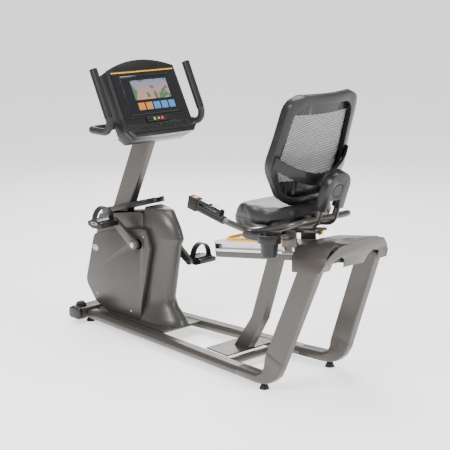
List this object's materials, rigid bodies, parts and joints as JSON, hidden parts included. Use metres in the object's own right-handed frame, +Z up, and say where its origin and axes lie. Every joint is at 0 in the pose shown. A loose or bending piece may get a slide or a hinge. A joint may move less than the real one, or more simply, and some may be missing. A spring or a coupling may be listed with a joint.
{
  "type": "recumbent exercise bike",
  "caption": "Recumbent exercise bike with a sliding mesh-back seat, turning crank, strapped pedals, flywheel drive and a tilted touch console on a mast.",
  "frame": {"origin": "on the floor, under the middle of the overall length and width", "axes": "+X from the pedals back to the seat, +Y to the rider's right, +Z up"},
  "size_m": [1.7598, 0.616, 1.336],
  "materials": {
    "frame_paint": "satin metallic paint",
    "casing_plastic": "painted moulded shell, satin",
    "dark_plastic": "fine textured moulded plastic",
    "screen_glass": "black glass",
    "black_rubber": "soft matt rubber",
    "black_paint": "satin black paint",
    "machined_steel": "turned steel",
    "cast_iron": "machined cast iron",
    "aluminium": "clear anodised extrusion",
    "crank_paint": "satin dark grey paint",
    "strap_rubber": "moulded rubber",
    "yellow_paint": "gloss yellow coating",
    "seat_vinyl": "grained upholstery vinyl",
    "seat_mesh": "woven mesh over a dark backing",
    "key_green": "moulded key",
    "key_red": "moulded key"
  },
  "bodies": {
    "frame": {"base_rails": "frame_paint", "front_stabiliser": "frame_paint", "stabiliser_caps": "dark_plastic", "front_deck": "frame_paint", "rear_cross_plate": "frame_paint", "corner_castings": "frame_paint", "hoop_legs": "frame_paint", "hoop_cover": "frame_paint", "levelling_feet": "black_rubber", "seat_post": "frame_paint", "rail_beam": "frame_paint", "seat_rail": "aluminium", "rail_end_cap": "dark_plastic", "console_mast": "frame_paint", "left_casing": "casing_plastic", "right_casing": "casing_plastic", "casing_top": "casing_plastic", "casing_spine": "casing_plastic", "mast_tray": "dark_plastic", "drive_frame": "black_paint", "crank_bearings": "machined_steel", "drive_belt": "black_rubber", "casing_screws": "machined_steel", "console_bezel": "dark_plastic", "console_back": "dark_plastic", "touch_screen": "screen_glass", "keypad": "dark_plastic", "console_handlebar": "black_paint", "console_grips": "black_rubber"},
    "start_key": {"start_key": "key_green"},
    "stop_key": {"stop_key": "key_red"},
    "crank": {"crank_axle": "machined_steel", "drive_pulley": "black_paint", "left_crank": "crank_paint", "right_crank": "crank_paint", "pedal_spindles": "machined_steel"},
    "left_pedal": {"left_pedal": "dark_plastic", "left_strap": "strap_rubber"},
    "right_pedal": {"right_pedal": "dark_plastic", "right_strap": "strap_rubber"},
    "flywheel": {"flywheel": "cast_iron", "flywheel_shaft": "machined_steel"},
    "left_transport_wheel": {"left_transport_wheel": "black_rubber"},
    "right_transport_wheel": {"right_transport_wheel": "black_rubber"},
    "seat": {"seat_carriage": "frame_paint", "seat_cushion": "seat_vinyl", "backrest_tubes": "frame_paint", "backrest_shroud": "dark_plastic", "backrest_yoke": "dark_plastic", "backrest_frame": "dark_plastic", "backrest_mesh": "seat_mesh", "seat_handlebar": "frame_paint", "left_seat_grip": "black_rubber", "right_seat_grip": "black_rubber", "cup_holder": "dark_plastic"},
    "front_rollers": {"front_rollers": "machined_steel"},
    "rear_rollers": {"rear_rollers": "machined_steel"},
    "release_lever": {"release_lever": "yellow_paint"},
    "left_grip_button": {"left_grip_button": "yellow_paint"},
    "right_grip_button": {"right_grip_button": "yellow_paint"}
  },
  "joints": [
    {"name": "crank_spin", "type": "hinge", "parent": "frame", "child": "crank", "pos_m": [-0.464, 0, 0.455], "axis": [0, 1, 0], "continuous": true},
    {"name": "left_pedal_spin", "type": "hinge", "parent": "crank", "child": "left_pedal", "pos_m": [-0.61027, 0, 0.55108], "axis": [0, 1, 0], "continuous": true},
    {"name": "right_pedal_spin", "type": "hinge", "parent": "crank", "child": "right_pedal", "pos_m": [-0.31773, 0, 0.35892], "axis": [0, 1, 0], "continuous": true},
    {"name": "flywheel_spin", "type": "hinge", "parent": "frame", "child": "flywheel", "pos_m": [-0.714, 0, 0.28], "axis": [0, 1, 0], "continuous": true},
    {"name": "left_transport_wheel_spin", "type": "hinge", "parent": "frame", "child": "left_transport_wheel", "pos_m": [-0.844, -0.155, 0.073], "axis": [0, 1, 0], "continuous": true},
    {"name": "right_transport_wheel_spin", "type": "hinge", "parent": "frame", "child": "right_transport_wheel", "pos_m": [-0.844, 0.155, 0.073], "axis": [0, 1, 0], "continuous": true},
    {"name": "seat_slide", "type": "slide", "parent": "frame", "child": "seat", "axis": [0.9898, 0, 0.1426], "range_m": [-0.28, 0.06]},
    {"name": "front_rollers_spin", "type": "hinge", "parent": "seat", "child": "front_rollers", "pos_m": [0.48222, 0, 0.58938], "axis": [0, 1, 0], "range_deg": [-1400, 1400]},
    {"name": "rear_rollers_spin", "type": "hinge", "parent": "seat", "child": "rear_rollers", "pos_m": [0.5416, 0, 0.59794], "axis": [0, 1, 0], "range_deg": [-1400, 1400]},
    {"name": "release_lever_pull", "type": "hinge", "parent": "seat", "child": "release_lever", "pos_m": [0.51935, 0, 0.64019], "axis": [0, 1, 0], "range_deg": [0, 10], "stiffness_Nm_per_rad": 6, "springref_deg": -17.19},
    {"name": "start_key_press", "type": "slide", "parent": "frame", "child": "start_key", "axis": [-0.887, 0, -0.4618], "range_m": [0, 0.0015], "stiffness_N_per_m": 300, "springref_m": -0.0005},
    {"name": "stop_key_press", "type": "slide", "parent": "frame", "child": "stop_key", "axis": [-0.887, 0, -0.4618], "range_m": [0, 0.0015], "stiffness_N_per_m": 300, "springref_m": -0.0005},
    {"name": "left_grip_button_press", "type": "slide", "parent": "seat", "child": "left_grip_button", "axis": [-0.2199, 0, -0.9755], "range_m": [0, 0.0015], "stiffness_N_per_m": 300, "springref_m": -0.0005},
    {"name": "right_grip_button_press", "type": "slide", "parent": "seat", "child": "right_grip_button", "axis": [-0.2199, 0, -0.9755], "range_m": [0, 0.0015], "stiffness_N_per_m": 300, "springref_m": -0.0005}
  ],
  "couplings": [
    {"joint": "flywheel_spin", "follows": "crank_spin", "ratio": 5.9091},
    {"joint": "front_rollers_spin", "follows": "seat_slide", "rad_per_m": 83.333},
    {"joint": "rear_rollers_spin", "follows": "seat_slide", "rad_per_m": 83.333}
  ]
}
